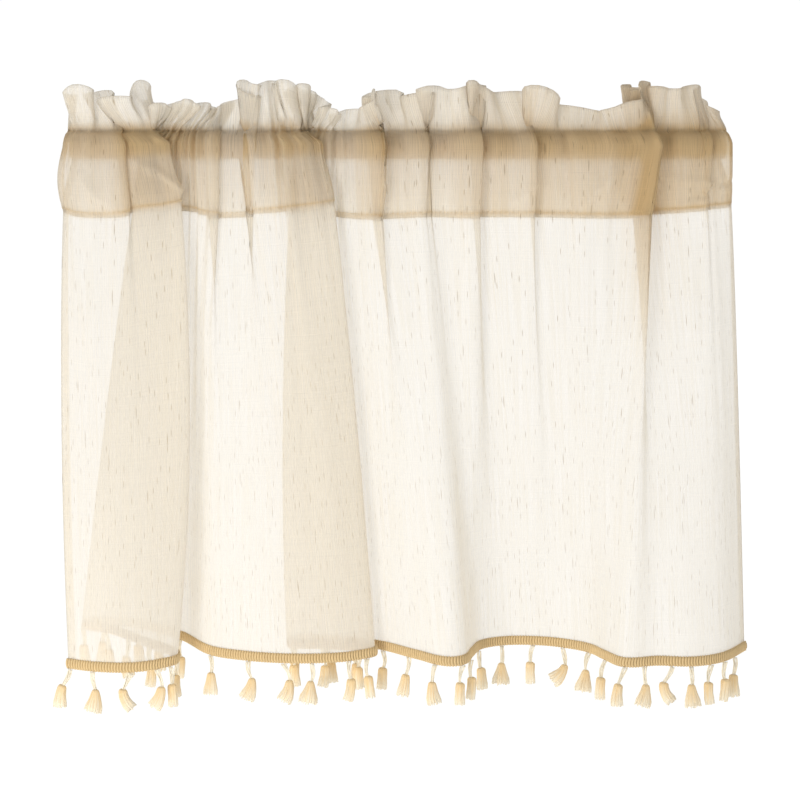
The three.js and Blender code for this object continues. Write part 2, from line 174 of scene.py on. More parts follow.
# Soft creases: from and to as (along, height), rise towards the room, where a negative one is a trough, and width.
CREASE_TAIL = 0.15  # share of its length that a crease fades out over at each end
CREASES = (
    ((1252, -8), (1222, -62), 5.5, 4.5),
    ((1382, -56), (1442, -40), -4.2, 13.0),
    ((1352, -30), (1432, -52), 3.0, 14.0),
    ((60, -62), (30, -20), 4.2, 6.0),
    ((98, -14), (138, -54), 4.0, 5.0),
    ((172, -14), (140, -54), 4.0, 5.0),
    ((1198, -20), (1222, -66), -2.0, 5.0),
    ((1144, -60), (1174, -24), 1.8, 5.0),
    ((1125, -12), (1150, -50), -2.0, 5.0),
    ((630, -14), (610, -66), 2.4, 6.0),
    ((905, -10), (886, -60), 2.6, 7.0),
    ((20, -72), (45, -240), 2.0, 9.0),
    ((118, -75), (100, -330), -2.5, 12.0),
    ((631, -75), (646, -420), 2.2, 14.0),
    ((986, -72), (998, -230), -2.5, 9.0),
    ((1272, -75), (1265, -420), -3.0, 12.0),
    ((1164, -70), (1162, -300), -2.0, 9.0),
)

# Tassels: place along the hem, lean of the cord and of the skirt in degrees, width of the skirt.
TASSELS = (
    (5, -26, -10, 14), (33, 6, -8, 19), (73, -24, 20, 13), (102, 12, -18, 15), (118, 4, 2, 10),
    (148, -4, 3, 10), (186, 6, -4, 12), (223, -8, 5, 14), (260, 5, 8, 11), (297, 0, 4, 12),
    (334, -6, -5, 13), (371, 8, 4, 12), (406, -3, 6, 11), (439, 2, -6, 11), (497, 0, -3, 16),
    (545, 12, -14, 18), (585, 18, -13, 17), (616, -4, -8, 21), (656, 8, -8, 11), (677, 4, 6, 10),
    (724, -5, 4, 11), (763, 6, -6, 12), (795, 3, 5, 11), (830, -6, -4, 12), (864, 5, 6, 11),
    (898, -3, -5, 12), (932, -2, -3, 11), (970, -8, -9, 14), (1009, -10, 5, 16), (1040, -8, -2, 11),
    (1061, 3, -3, 10), (1096, 8, 4, 12), (1132, 0, -2, 20), (1169, -8, 0, 10), (1204, 8, -34, 18),
    (1238, -8, -8, 19), (1270, -12, -3, 11), (1301, -20, -5, 13), (1322, 4, -8, 18), (1353, -26, 20, 12),
    (1373, 2, 6, 18), (1397, -8, 4, 10), (1417, 3, -3, 9), (1438, -2, 4, 12),
)


# ---------------------------------------------------------------- settings


def colour_setting(name, description, default):
    return FloatVectorProperty(
        name=name, description=description, subtype="COLOR", size=3, min=0, max=1, default=default)


def length_setting(name, description, default):
    return FloatProperty(name=name, description=description, unit="LENGTH", default=default)


def power_setting(name, description, default):
    return FloatProperty(name=name, description=description, unit="POWER", default=default)


class CurtainClothSettings(bpy.types.PropertyGroup):
    """The sheer panel."""

    colour: colour_setting("Yarn colour", "Colour of the cloth's yarn", (0.915, 0.875, 0.80))
    shade: colour_setting("Thick yarn colour", "Colour of the thicker, unbleached yarn", (0.89, 0.84, 0.745))
    # Painted shade: this dark gold stands in for the shade on cloth packed on the rod and in the pocket's folds.
    bunched_and_shaded: colour_setting("Bunched colour", "Colour of the cloth bunched on the rod", (0.69, 0.515, 0.28))
    glow: colour_setting("Glow colour", "Colour of the light that comes through the yarn", (0.95, 0.88, 0.745))
    fleck: colour_setting("Fleck colour", "Colour of the slubs in the yarn", (0.30, 0.21, 0.11))
    cover: FloatProperty(
        name="Cover", description="Share of the cloth that is yarn and not gap", subtype="FACTOR",
        min=0.1, max=1, default=0.70,
    )
    yarn_pitch: length_setting("Yarn pitch", "Distance between two yarns", 0.0008)
    gather: length_setting("Gather", "Depth of the small gathers on the rod", 0.0026)
    columns: IntProperty(
        name="Columns", description="Facets across the flat width", min=60, max=560, default=470,
    )


class CurtainTrimSettings(bpy.types.PropertyGroup):
    """The braid and the seams."""

    colour: colour_setting("Braid colour", "Colour of the hem braid", (0.78, 0.575, 0.30))
    # Painted shade between the braid's ribs.
    groove_shade: colour_setting("Groove colour", "Colour of the braid between its ribs", (0.40, 0.26, 0.11))
    thread: colour_setting("Thread colour", "Colour of the sewing thread", (0.74, 0.60, 0.38))
    width: length_setting("Braid width", "Height of the hem braid", 0.0108)
    rib_pitch: length_setting("Rib pitch", "Distance between two ribs of the braid", 0.0031)
    stitch_pitch: length_setting("Stitch pitch", "Distance between two stitches", 0.0032)


class CurtainTasselSettings(bpy.types.PropertyGroup):
    """The tassels on the hem."""

    colour: colour_setting("Tassel colour", "Colour of the tassel yarn", (0.95, 0.87, 0.70))
    # Painted shade inside a tassel: this colour covers its core, and each yarn is darker towards the head.
    heart_shade: colour_setting("Heart colour", "Colour of the yarn inside a tassel", (0.88, 0.66, 0.36))
    cord_length: length_setting("Cord length", "Length of a tassel's cord", 0.020)
    length: length_setting("Tassel length", "Length of a tassel's skirt", 0.024)
    strands: IntProperty(
        name="Strands", description="Strands of yarn in a tassel", min=8, max=80, default=54,
    )


class CurtainStageSettings(bpy.types.PropertyGroup):
    """The rod, floor and light."""

    rod_colour: colour_setting("Rod colour", "Colour of the painted rod", (0.50, 0.30, 0.085))
    floor_drop: length_setting("Floor drop", "How far the floor is under the rod", 1.05)
    sky: FloatProperty(
        name="Room light", description="Strength of the even light around the curtain", min=0, default=0.52,
    )
    back_light: power_setting("Back light", "Power of the soft light behind the curtain", 0.9)
    front_light: power_setting("Front light", "Power of the soft light in front", 8.5)


# ---------------------------------------------------------------- the hanging shape


def smooth(t):
    """Eases a share from 0 to 1."""
    t = np.clip(t, 0.0, 1.0)
    return t * t * (3 - 2 * t)


def blend(a, b, t):
    return a + (b - a) * t


def through(places, values, place):
    """Cubic through the values at places, with slopes from the neighbouring ones."""
    places, values = np.asarray(places, float), np.asarray(values, float)
    ahead = np.append(np.arange(1, len(places)), len(places) - 1)
    behind = np.append(0, np.arange(len(places) - 1))
    slopes = (values[ahead] - values[behind]) / (places[ahead] - places[behind])
    i = np.clip(np.searchsorted(places, place, side="right") - 1, 0, len(places) - 2)
    span = places[i + 1] - places[i]
    t = (place - places[i]) / span
    rise = values[i + 1] - values[i]
    start, end = slopes[i] * span, slopes[i + 1] * span
    return values[i] + t * (start + t * (3 * rise - 2 * start - end + t * (start + end - 2 * rise)))


class HangingCloth:
    """The cloth's hanging shape: where a place of the flat cloth is, in millimetres from its middle at the rod."""

    HEM_SAMPLES = 12
    FAN = 0.9  # how soon the folds open under the seam
    SEAM_FOLLOWS = 0.35  # how far the upper seam follows the lower one sideways,
    SEAM_SWAY = 0.14  # and how far it goes forward and back with it,
    SEAM_DEPTH = 16  # about the lower one's usual place in front of the rod
    FACE_FOLLOWS = 0.72  # how far the pocket's face follows the lower seam sideways
    ROD_STAND = 1.6  # how far the pocket's walls stand off the rod at least
    MOST_BELLY = 14
    BELLY_SHARE = 0.35  # share of a fold's belly in each of the ways that it swells

    def __init__(self):
        table = np.array(FOLDS, float)
        steps = [ACROSS if name in IN_STEPS else 1.0 for name in FOLD_COLUMNS]
        self.table = {name: table[:, i] * steps[i] for i, name in enumerate(FOLD_COLUMNS)}
        self.knots = np.stack([self.table["hem_x"], self.table["hem_y"]], axis=1)
        steps = np.diff(self.knots, axis=0)
        self.chords = np.linalg.norm(steps, axis=1)
        units = steps / self.chords[:, None]
        aims = np.vstack([units[:1], units[:-1] + units[1:], units[-1:]])
        self.aims = aims / np.linalg.norm(aims, axis=1)[:, None]
        places = [0.0]
        t = np.linspace(0, 1, self.HEM_SAMPLES + 1)
        for i in range(len(self.knots) - 1):
            points = self.bezier(np.full(len(t), i), t)
            places.append(places[-1] + np.linalg.norm(np.diff(points, axis=0), axis=1).sum())
        self.places = np.array(places)
        self.width = self.places[-1]

    def bezier(self, i, t):
        handle = self.chords[i][:, None] / 3
        t = t[:, None]
        a, d = self.knots[i], self.knots[i + 1]
        b, c = a + self.aims[i] * handle, d - self.aims[i + 1] * handle
        return a * (1 - t) ** 3 + 3 * b * t * (1 - t) ** 2 + 3 * c * t * t * (1 - t) + d * t**3

    def value(self, name, along):
        return through(self.places, self.table[name], along)

    def hem(self, along):
        i = np.clip(np.searchsorted(self.places, along, side="right") - 1, 0, len(self.knots) - 2)
        return self.bezier(i, (along - self.places[i]) / (self.places[i + 1] - self.places[i]))

    def body(self, along, share):
        """The cloth under the pocket, from the seam (share 0) to the hem (share 1)."""
        hem = self.hem(along)
        fan = share**self.FAN
        x = blend(self.value("seam_x", along), hem[:, 0], fan) + self.value("bow", along) * 4 * share * (1 - share)
        y = blend(self.value("seam_y", along), hem[:, 1], fan)
        raised = blend(self.value("lift", along), self.value("tuck", along), smooth(share))
        z = blend(LOWER_SEAM_Z, HEM_Z, share) + raised
        return np.stack([x, y, z], axis=1)

    def upper_seam(self, along):
        x = blend(self.value("rod_x", along), self.value("seam_x", along), self.SEAM_FOLLOWS)
        y = self.SEAM_SWAY * (self.value("seam_y", along) + self.SEAM_DEPTH)
        return np.stack([x, y, np.full(len(along), UPPER_SEAM_Z)], axis=1)

    def pocket(self, along, level, side):
        """A wall of the pocket from the lower seam (level 0) to the upper one (level 1). side -1 is in front."""
        low, high = self.body(along, 0.0), self.upper_seam(along)
        seam_x, seam_y = self.value("seam_x", along), self.value("seam_y", along)
        belly = np.clip(self.value("belly", along), 0, self.MOST_BELLY)
        at_rod = -LOWER_SEAM_Z / (UPPER_SEAM_Z - LOWER_SEAM_Z)
        if side < 0:
            rod_x = blend(self.value("rod_x", along), seam_x, self.FACE_FOLLOWS)
            pushed = 0.30 * np.clip(-seam_y - 3, 0, 30)
            rod_y = -(ROD_RADIUS + self.ROD_STAND + pushed + self.BELLY_SHARE * belly)
        else:
            rod_x = self.value("rod_x", along)
            rod_y = ROD_RADIUS + self.ROD_STAND + self.BELLY_SHARE * (self.MOST_BELLY - 1 - belly)
        z = blend(low[:, 2], high[:, 2], level)
        if level <= at_rod:
            t = level / at_rod
            x = blend(low[:, 0], rod_x, smooth(t))
            x = x - EDGE_BULGE * np.exp(-along / EDGE_REACH) * math.sin(math.pi * t) * (side < 0)
            swell = side * self.BELLY_SHARE * belly * math.sin(math.pi * t)
            y = blend(low[:, 1], rod_y, smooth(t * 1.12)) + swell
        else:
            t = (level - at_rod) / (1 - at_rod)
            x = blend(rod_x, high[:, 0], smooth(t))
            y = blend(high[:, 1], rod_y, math.sqrt(max(0.0, 1 - t * t)))
        return np.stack([x, y, z], axis=1)

    def ruffle(self, along, share):
        """The double cloth over the upper seam, up to its free edge (share 1)."""
        low = self.upper_seam(along)
        top = np.stack([self.value(name, along) for name in ("top_x", "top_y", "top_z")], axis=1)
        turn = 2 * math.pi * np.interp(along, self.places, np.arange(len(self.places)))
        loop = self.value("loop", along)
        x = blend(low[:, 0], top[:, 0], smooth(share)) + loop * np.sin(turn) * share**0.8
        y = blend(low[:, 1], top[:, 1], share**0.85)
        z = blend(low[:, 2], top[:, 2], share) + LOBE_ROUND * loop * np.cos(turn) * share**2
        return np.stack([x, y, z], axis=1)


def face_side(points):
    """Level directions that point out of the face of a row of points."""
    run = np.gradient(points[:, :2], axis=0)
    out = np.stack([run[:, 1], -run[:, 0], np.zeros(len(run))], axis=1)
    return out / np.maximum(np.linalg.norm(out, axis=1), 1e-9)[:, None]


def gathers(along, seed):
    """Small uneven waves across the cloth."""
    rng = random.Random(seed)
    wave = np.zeros(len(along))
    for length, weight in GATHERS:
        drift = GATHER_DRIFT * np.sin(2 * math.pi * along / (length * DRIFT_LENGTH) + rng.uniform(0, 6.3))
        wave += weight * np.sin(2 * math.pi * (along / length + drift) + rng.uniform(0, 6.3))
    return wave


class ClothRow:
    """One row of the sheet: its points before the pleats, its height, and what it lies against."""

    def __init__(self, points, run, height, offset, gather, back=0.0):
        self.points, self.run, self.height = points, run, height
        self.offset, self.gather, self.back = offset, gather, back


def cloth_rows(cloth, along):
    """The sheet from the hem up the face, over the ruffle's edge and down behind the rod to the turned edge."""
    rows = []
    run = 0.0

    def add(points, step, **rest):
        nonlocal run
        run += step
        rows.append(ClothRow(points, run, **rest))

    body_steps, pocket_steps, ruffle_steps = 82, 24, 11
    for k in range(body_steps + 1):
        share = 1 - k / body_steps
        near = math.exp(-share * 5.5) * (1 - smooth((share - 0.82) / 0.1))
        add(cloth.body(along, share), BODY_DROP / body_steps if k else 0.0,
            height=blend(LOWER_SEAM_Z, HEM_Z, share), offset=0.0, gather=0.75 * near)
    for k in range(1, pocket_steps + 1):
        level = k / pocket_steps
        add(cloth.pocket(along, level, -1), POCKET_RUN / pocket_steps,
            height=blend(LOWER_SEAM_Z, UPPER_SEAM_Z, level), offset=0.5, gather=0.75 + 0.35 * level)
    for k in range(1, ruffle_steps + 1):
        share = k / ruffle_steps
        add(cloth.ruffle(along, share), RUFFLE_RUN / ruffle_steps,
            height=blend(UPPER_SEAM_Z, RUFFLE_Z, share), offset=0.5 + 0.5 * share, gather=1.1 + 0.3 * share)
    crest_run, crest_rise = 1.2, 0.9
    crest = cloth.ruffle(along, 1.0)
    crest[:, 2] += crest_rise
    add(crest, crest_run, height=RUFFLE_Z + 1, offset=0.0, gather=1.4)
    for k in range(ruffle_steps, 0, -1):
        share = k / ruffle_steps
        add(cloth.ruffle(along, share), crest_run if k == ruffle_steps else RUFFLE_RUN / ruffle_steps,
            height=blend(UPPER_SEAM_Z, RUFFLE_Z, share), offset=-0.5 - 0.5 * share, gather=1.1 + 0.3 * share)
    for k in range(pocket_steps, -1, -1):
        level = k / pocket_steps
        add(cloth.pocket(along, level, 1), POCKET_RUN / pocket_steps,
            height=blend(LOWER_SEAM_Z, UPPER_SEAM_Z, level), offset=-0.7, gather=0.75 + 0.35 * level,
            back=math.sin(math.pi * level) ** 0.7 if 0 < level < 1 else 0.0)
    turned_run = 1.6
    for rise, offset in ((-1.4, -0.7), (-2.0, -0.35), (0.0, -0.3), (3.2, -0.3)):
        turned = cloth.body(along, 0.0)
        turned[:, 2] += rise
        add(turned, turned_run, height=LOWER_SEAM_Z + rise, offset=offset, gather=0.75)
    return rows


def pleat_moves(along, height, back):
    """How far the flat pleats slide a row of the cloth, sideways and towards the room."""
    sideways, outwards = np.zeros(len(along)), np.zeros(len(along))
    levels = PLEAT_LEVELS[::-1]
    for place, reach, shifts, depth in PLEATS:
        shift = float(np.interp(height, levels, shifts[::-1])) * (1 - PLEAT_BEHIND * back)
        t = np.clip((along - place) / reach, -1, 1)
        slide = -PLEAT_PEAK * t * (1 - t * t) ** 2
        sideways += shift * slide
        outwards -= shift * depth * slide * (1 - 2 * back)
    return sideways, outwards


def crease_moves(along, height):
    """How far the soft creases push a row of the cloth out of its face."""
    out = np.zeros(len(along))
    for (along_0, height_0), (along_1, height_1), rise, width in CREASES:
        span = height_1 - height_0
        t = (height - height_0) / span
        if not -CREASE_TAIL < t < 1 + CREASE_TAIL:
            continue
        fade = math.sin(math.pi * (t + CREASE_TAIL) / (1 + 2 * CREASE_TAIL)) ** 0.8
        middle = blend(along_0, along_1, t)
        out += rise * fade * np.exp(-(((along - middle) / width) ** 2))
    return out


def shaped_sheet(columns, gather):
    """Points of the finished sheet, row by row, with the lengths along it, both in millimetres."""
    cloth = HangingCloth()
    flat = np.linspace(-SIDE_HEM, cloth.width + SIDE_HEM, columns + 1)
    along = np.where(flat < 0, -flat, np.where(flat > cloth.width, 2 * cloth.width - flat, flat))
    turned = (flat < 0) | (flat > cloth.width)
    sheet, runs, bunched_and_shaded = [], [], []
    front, behind = gathers(along, FRONT_SEED), gathers(along, BACK_SEED)
    order = np.argsort(along, kind="stable")
    for row in cloth_rows(cloth, along):
        points = row.points.copy()
        sideways, outwards = pleat_moves(along, row.height, row.back)
        points[:, 0] += sideways
        points[:, 1] += outwards
        out = np.zeros_like(points)
        out[order] = face_side(points[order])
        wave = blend(front, behind, row.back)
        rise = row.offset + gather * row.gather * wave
        if row.back == 0:
            rise = rise + crease_moves(along, row.height)
        points += out * (rise - HEM_LAYER * turned)[:, None]
        # No part of the cloth is inside the rod.
        away = np.hypot(points[:, 1], points[:, 2])
        points[:, 1:] *= np.maximum(1.0, (ROD_RADIUS + ROD_CLEARANCE) / np.maximum(away, 1.0))[:, None]
        sheet.append(points)
        runs.append(row.run)
        bunched_and_shaded.append(density_and_painted_shade(row.height, along))
    return cloth, flat, np.array(sheet), np.array(runs), np.array(bunched_and_shaded)


def density_and_painted_shade(row_height, along):
    """How dense a row of the cloth is, and how much painted shade it carries: packed in the pocket, pressed on the
    rod, sewn, or in the widest pleat.
    """
    sewn = SEWN_LOW * math.exp(-(((row_height - LOWER_SEAM_Z - 2) / 3) ** 2))
    # The upper seam's share is painted shade over the crease where the ruffle meets the pocket.
    sewn += SEWN_HIGH_SHADE * math.exp(-(((row_height - UPPER_SEAM_Z) / 5) ** 2))
    if row_height > LOWER_SEAM_Z:
        packed = np.interp(along, *zip(*PACKING_AND_SHADE)) + 0.05 * gathers(along, PACKED_SEED)
        pressed = PRESSED_SHADE * math.exp(-(((row_height - 3) / 16) ** 4))
        loose = smooth((row_height - UPPER_SEAM_Z - 1.5) / 24)
        spread = SPREAD * (1 - smooth((along - SPREAD_END[0]) / (SPREAD_END[1] - SPREAD_END[0])))
        return packed * (1 - 0.55 * loose) - spread * loose + pressed + sewn
    # Painted shade of the widest pleat's layers on the body under it.
    place, reach = PLEATS[WIDEST_PLEAT][:2]
    near = np.exp(-(((along - place) / (0.40 * reach)) ** 2))
    return IN_PLEAT_SHADE * near * (1 - smooth((LOWER_SEAM_Z - row_height) / 170)) + sewn


# ---------------------------------------------------------------- mesh helpers


def to_frame(points):
    """Millimetres from the middle of the cloth to the part's own frame in metres."""
    return (np.asarray(points, float) + np.array([CLOTH_MIDDLE, 0, 0])) * MM


def grid_on(bm, points):
    """Adds a grid whose vertices lie on points, an array of rows, and returns its vertices row by row."""
    rows, columns = points.shape[:2]
    made = bmesh.ops.create_grid(bm, x_segments=columns - 1, y_segments=rows - 1, size=1.0)["verts"]
    ordered = {}
    for v in made:
        column = round((v.co.x + 1) / 2 * (columns - 1))
        row = round((v.co.y + 1) / 2 * (rows - 1))
        ordered[row, column] = v
    for (row, column), v in ordered.items():
        v.co = points[row, column]
    return ordered


def tube_on(bm, rings, layer=None, marks=None):
    """Adds a closed tube over rings, an array of rings of points, caps its ends and writes marks to a layer."""
    closed = np.concatenate([rings, rings[:, :1]], axis=1).transpose(1, 0, 2)
    ordered = grid_on(bm, closed)
    if layer is not None:
        for (point, turn), v in ordered.items():
            v[layer] = marks[turn, point % rings.shape[1]]
    made = list(ordered.values())
    bmesh.ops.remove_doubles(bm, verts=made, dist=1e-7)
    rim = {e for v in made if v.is_valid for e in v.link_edges if e.is_boundary}
    bmesh.ops.holes_fill(bm, edges=list(rim), sides=0)


def ring(centre, sideways, forward, radius, sides, squash=1.0):
    """A ring of points round a centre."""
    turn = np.linspace(0, 2 * math.pi, sides, endpoint=False)
    return centre + radius * (np.cos(turn)[:, None] * sideways + squash * np.sin(turn)[:, None] * forward)


def gathered_into(bm, part):
    """Adds a finished bmesh to another one and returns a new empty one, because small ones are quick to work on."""
    mesh = bpy.data.meshes.new("part")
    part.to_mesh(mesh)
    part.free()
    bm.from_mesh(mesh)
    bpy.data.meshes.remove(mesh)
    return bmesh.new()


def object_from(bm, name, material):
    """Makes an object of a finished bmesh."""
    mesh = bpy.data.meshes.new(name)
    bm.to_mesh(mesh)
    bm.free()
    mesh.materials.append(material)
    made = bpy.data.objects.new(name, mesh)
    bpy.context.scene.collection.objects.link(made)
    return made


def piece_from(bm, name, material, closed=True):
    """Makes a smooth object of a bmesh and lets it ride on the part."""
    if closed:
        bmesh.ops.recalc_face_normals(bm, faces=bm.faces[:])
    for face in bm.faces:
        face.smooth = True
    piece = object_from(bm, name, material)
    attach(piece, "root")
    return piece


# ---------------------------------------------------------------- finishes


class Nodes:
    """Short ways to place nodes in a tree."""

    def __init__(self, tree):
        self.tree = tree

    def add(self, kind, inputs=None, **settings):
        node = self.tree.nodes.new(kind)
        for name, value in settings.items():
            setattr(node, name, value)
        for name, value in (inputs or {}).items():
            self.put(node.inputs[name], value)
        return node

    def put(self, socket, value):
        if isinstance(value, bpy.types.NodeSocket):
            self.tree.links.new(value, socket)
        elif hasattr(value, "__len__") and len(value) == 3 and socket.type == "RGBA":
            socket.default_value = (*value, 1.0)
        else:
            socket.default_value = value

    def math(self, operation, a, b=0.0, c=0.0, clamp=False):
        node = self.add("ShaderNodeMath", {0: a, 1: b, 2: c}, operation=operation, use_clamp=clamp)
        return node.outputs[0]

    def vector(self, operation, a, b=(0, 0, 0)):
        return self.add("ShaderNodeVectorMath", {0: a, 1: b}, operation=operation).outputs[0]

    def mix(self, factor, a, b):
        return self.add("ShaderNodeMix", {0: factor, 6: a, 7: b}, data_type="RGBA").outputs[2]

    def ramp(self, value, low, high, to_low=0.0, to_high=1.0):
        node = self.add(
            "ShaderNodeMapRange",
            {"Value": value, "From Min": low, "From Max": high, "To Min": to_low, "To Max": to_high},
            interpolation_type="SMOOTHSTEP",
        )
        return node.outputs[0]

    def noise(self, vector, scale, detail=2.0):
        node = self.add("ShaderNodeTexNoise", {"Vector": vector, "Scale": scale, "Detail": detail})
        return node.outputs["Fac"]

    def streaks(self, vector, scales, detail):
        """Noise with its own scale on each axis."""
        return self.noise(self.vector("MULTIPLY", vector, scales), 1.0, detail)

    def bump(self, shader, height, strength, distance):
        node = self.add("ShaderNodeBump", {"Height": height, "Strength": strength, "Distance": distance})
        self.put(shader.inputs["Normal"], node.outputs[0])

    def object_place(self):
        return self.add("ShaderNodeTexCoord").outputs["Object"]


def new_finish(name, **constants):
    """A material with its node helper, its Principled shader with those constants, and its output."""
    material = bpy.data.materials.new(name)
    material.use_nodes = True
    material.node_tree.nodes.clear()
    nodes = Nodes(material.node_tree)
    shader = nodes.add("ShaderNodeBsdfPrincipled", {word.replace("_", " "): c for word, c in constants.items()})
    output = nodes.add("ShaderNodeOutputMaterial", {"Surface": shader.outputs[0]})
    return material, nodes, shader, output


def yarn_group():
    """Fibre streaks and soft blotches that every yarn of the curtain shows."""
    name = "Yarn fibres"
    if name in bpy.data.node_groups:
        return bpy.data.node_groups[name]
    group = bpy.data.node_groups.new(name, "ShaderNodeTree")
    for label, kind in (("Vector", "NodeSocketVector"), ("Colour", "NodeSocketColor"), ("Shade", "NodeSocketColor")):
        group.interface.new_socket(name=label, in_out="INPUT", socket_type=kind)
    for label, kind in (("Colour", "NodeSocketColor"), ("Height", "NodeSocketFloat")):
        group.interface.new_socket(name=label, in_out="OUTPUT", socket_type=kind)
    nodes = Nodes(group)
    start = nodes.add("NodeGroupInput")
    end = nodes.add("NodeGroupOutput")
    fibres = nodes.noise(nodes.vector("MULTIPLY", start.outputs["Vector"], (1.0, 1.0, 0.12)), 3200.0, 3.0)
    blotch = nodes.noise(start.outputs["Vector"], 190.0, 2.0)
    depth = nodes.math("MULTIPLY_ADD", fibres, 0.7, nodes.math("MULTIPLY", blotch, 0.3))
    nodes.put(end.inputs["Colour"],
              nodes.mix(nodes.ramp(depth, 0.32, 0.68), start.outputs["Shade"], start.outputs["Colour"]))
    nodes.put(end.inputs["Height"], fibres)
    return group


def yarn_finish(name, colour, shade_share, depth, groove_shade=None):
    """A dull spun yarn. In the hollows of a ribbed piece, away from the Crown of each rib, it takes a darker colour
    of painted shade.
    """
    material, nodes, shader, _ = new_finish(
        name, Roughness=0.85, Specular_IOR_Level=0.2, Sheen_Weight=0.25, Sheen_Roughness=0.5)
    fibres = nodes.add("ShaderNodeGroup", node_tree=yarn_group())
    nodes.put(fibres.inputs["Vector"], nodes.object_place())
    nodes.put(fibres.inputs["Colour"], tuple(colour))
    nodes.put(fibres.inputs["Shade"], tuple(shade_share * c for c in colour))
    tone = fibres.outputs["Colour"]
    if groove_shade is not None:
        # Painted shade: away from each rib's crown the yarn takes the darker hollow colour.
        crown = nodes.add("ShaderNodeAttribute", attribute_name="Crown").outputs["Fac"]
        tone = nodes.mix(nodes.ramp(crown, 0.15, 0.8), tuple(groove_shade), tone)
    nodes.put(shader.inputs["Base Color"], tone)
    nodes.bump(shader, fibres.outputs["Height"], 0.5, depth)
    return material


# Slubs in the weave: half width, half length, spacing across and down, and the share of places that has one.
FLECKS = (
    (0.00027, 0.0040, (0.0080, 0.020), 0.58),
    (0.00036, 0.0076, (0.030, 0.052), 0.50),
)


def cloth_finish(settings):
    """Open, slubby linen weave: gaps between the yarns show what is behind, and the yarns pass light."""
    material, nodes, shader, output = new_finish(
        "sheer slub cloth", Roughness=0.9, Specular_IOR_Level=0.15, Sheen_Weight=0.12)
    flat = nodes.vector("SCALE", nodes.add("ShaderNodeUVMap").outputs[0])
    flat.node.inputs["Scale"].default_value = UV_SPAN * MM
    warp_streaks = nodes.streaks(flat, (760.0, 9.0, 1.0), 3.0)
    weft_streaks = nodes.streaks(flat, (14.0, 620.0, 1.0), 2.0)
    warp_drift = nodes.streaks(flat, (240.0, 12.0, 1.0), 1.0)
    weft_drift = nodes.streaks(flat, (12.0, 240.0, 1.0), 1.0)
    clouds = nodes.noise(flat, 22.0, 2.0)

    across = nodes.add("ShaderNodeSeparateXYZ", {0: flat})
    pitch = settings.yarn_pitch
    # Hand-spun yarns don't lie at an even pitch, so each set of them drifts.
    yarns = []
    for axis, drift in ((0, warp_drift), (1, weft_drift)):
        place = nodes.math("MULTIPLY_ADD", drift, 5 * pitch, across.outputs[axis])
        yarns.append(nodes.math("ABSOLUTE", nodes.math("SINE", nodes.math("MULTIPLY", place, math.pi / pitch))))
    weave = nodes.math("MAXIMUM", yarns[0], nodes.math("MULTIPLY", yarns[1], 0.8))

    flecks = None
    for size, length, spacing, chance in FLECKS:
        cells = nodes.vector("MULTIPLY", flat, (1 / spacing[0], 1 / spacing[1], 1.0))
        cell = nodes.add("ShaderNodeTexVoronoi", {"Vector": cells, "Scale": 1.0}, voronoi_dimensions="2D")
        away = nodes.vector("SUBTRACT", cells, cell.outputs["Position"])
        away = nodes.vector("MULTIPLY", away, (spacing[0] / size, spacing[1] / length, 0.0))
        reach = nodes.add("ShaderNodeVectorMath", {0: away}, operation="LENGTH").outputs["Value"]
        draw = nodes.add("ShaderNodeSeparateColor", {0: cell.outputs["Color"]}).outputs[0]
        spot = nodes.math("MULTIPLY", nodes.ramp(reach, 1.15, 0.55), nodes.math("LESS_THAN", draw, chance))
        flecks = spot if flecks is None else nodes.math("MAXIMUM", flecks, spot)

    thick = nodes.math("MULTIPLY_ADD", nodes.ramp(warp_streaks, 0.34, 0.66), 0.80,
                       nodes.math("MULTIPLY", nodes.ramp(weft_streaks, 0.32, 0.70), 0.20))
    # This attribute makes the cloth denser where it is packed, and darker: the darkening is painted shade of the
    # pocket's folds, the rod, the seams and the widest pleat.
    density_and_shade = nodes.add("ShaderNodeAttribute", attribute_name="Gathered").outputs["Fac"]
    # The gap is what is left between yarns whose thickness varies.
    cover = settings.cover
    for value, usual, weight in ((thick, 0.5, 0.17), (clouds, 0.5, 0.10), (weave, 0.76, 0.32), (density_and_shade, 0.0, 0.22)):
        cover = nodes.math("MULTIPLY_ADD", nodes.math("SUBTRACT", value, usual), weight, cover)
    facing = nodes.add("ShaderNodeLayerWeight", {"Blend": 0.5}).outputs["Facing"]
    edge_on = nodes.math("MULTIPLY", nodes.math("POWER", facing, 1.6), 0.50)
    cover = nodes.math("ADD", cover, edge_on)
    cover = nodes.math("MAXIMUM", cover, nodes.math("MULTIPLY", flecks, 0.88), clamp=True)

    colour = nodes.mix(nodes.ramp(thick, 0.10, 0.95), tuple(settings.colour), tuple(settings.shade))
    # Painted shade: packed cloth takes the darker gold colour.
    colour = nodes.mix(density_and_shade, colour, tuple(settings.bunched_and_shaded))
    colour = nodes.mix(nodes.math("MULTIPLY", flecks, 0.76), colour, tuple(settings.fleck))
    nodes.put(shader.inputs["Base Color"], colour)
    nodes.bump(shader, nodes.math("MULTIPLY_ADD", weave, 0.6, thick), 0.45, 0.0003)

    passing = nodes.add("ShaderNodeBsdfTranslucent", {"Color": nodes.mix(0.6, colour, tuple(settings.glow))})
    yarn = nodes.add("ShaderNodeMixShader", {0: 0.42, 1: shader.outputs[0], 2: passing.outputs[0]})
    gap = nodes.add("ShaderNodeBsdfTransparent")
    sheer = nodes.add("ShaderNodeMixShader", {0: cover, 1: gap.outputs[0], 2: yarn.outputs[0]})
    nodes.put(output.inputs["Surface"], sheer.outputs[0])
    return material


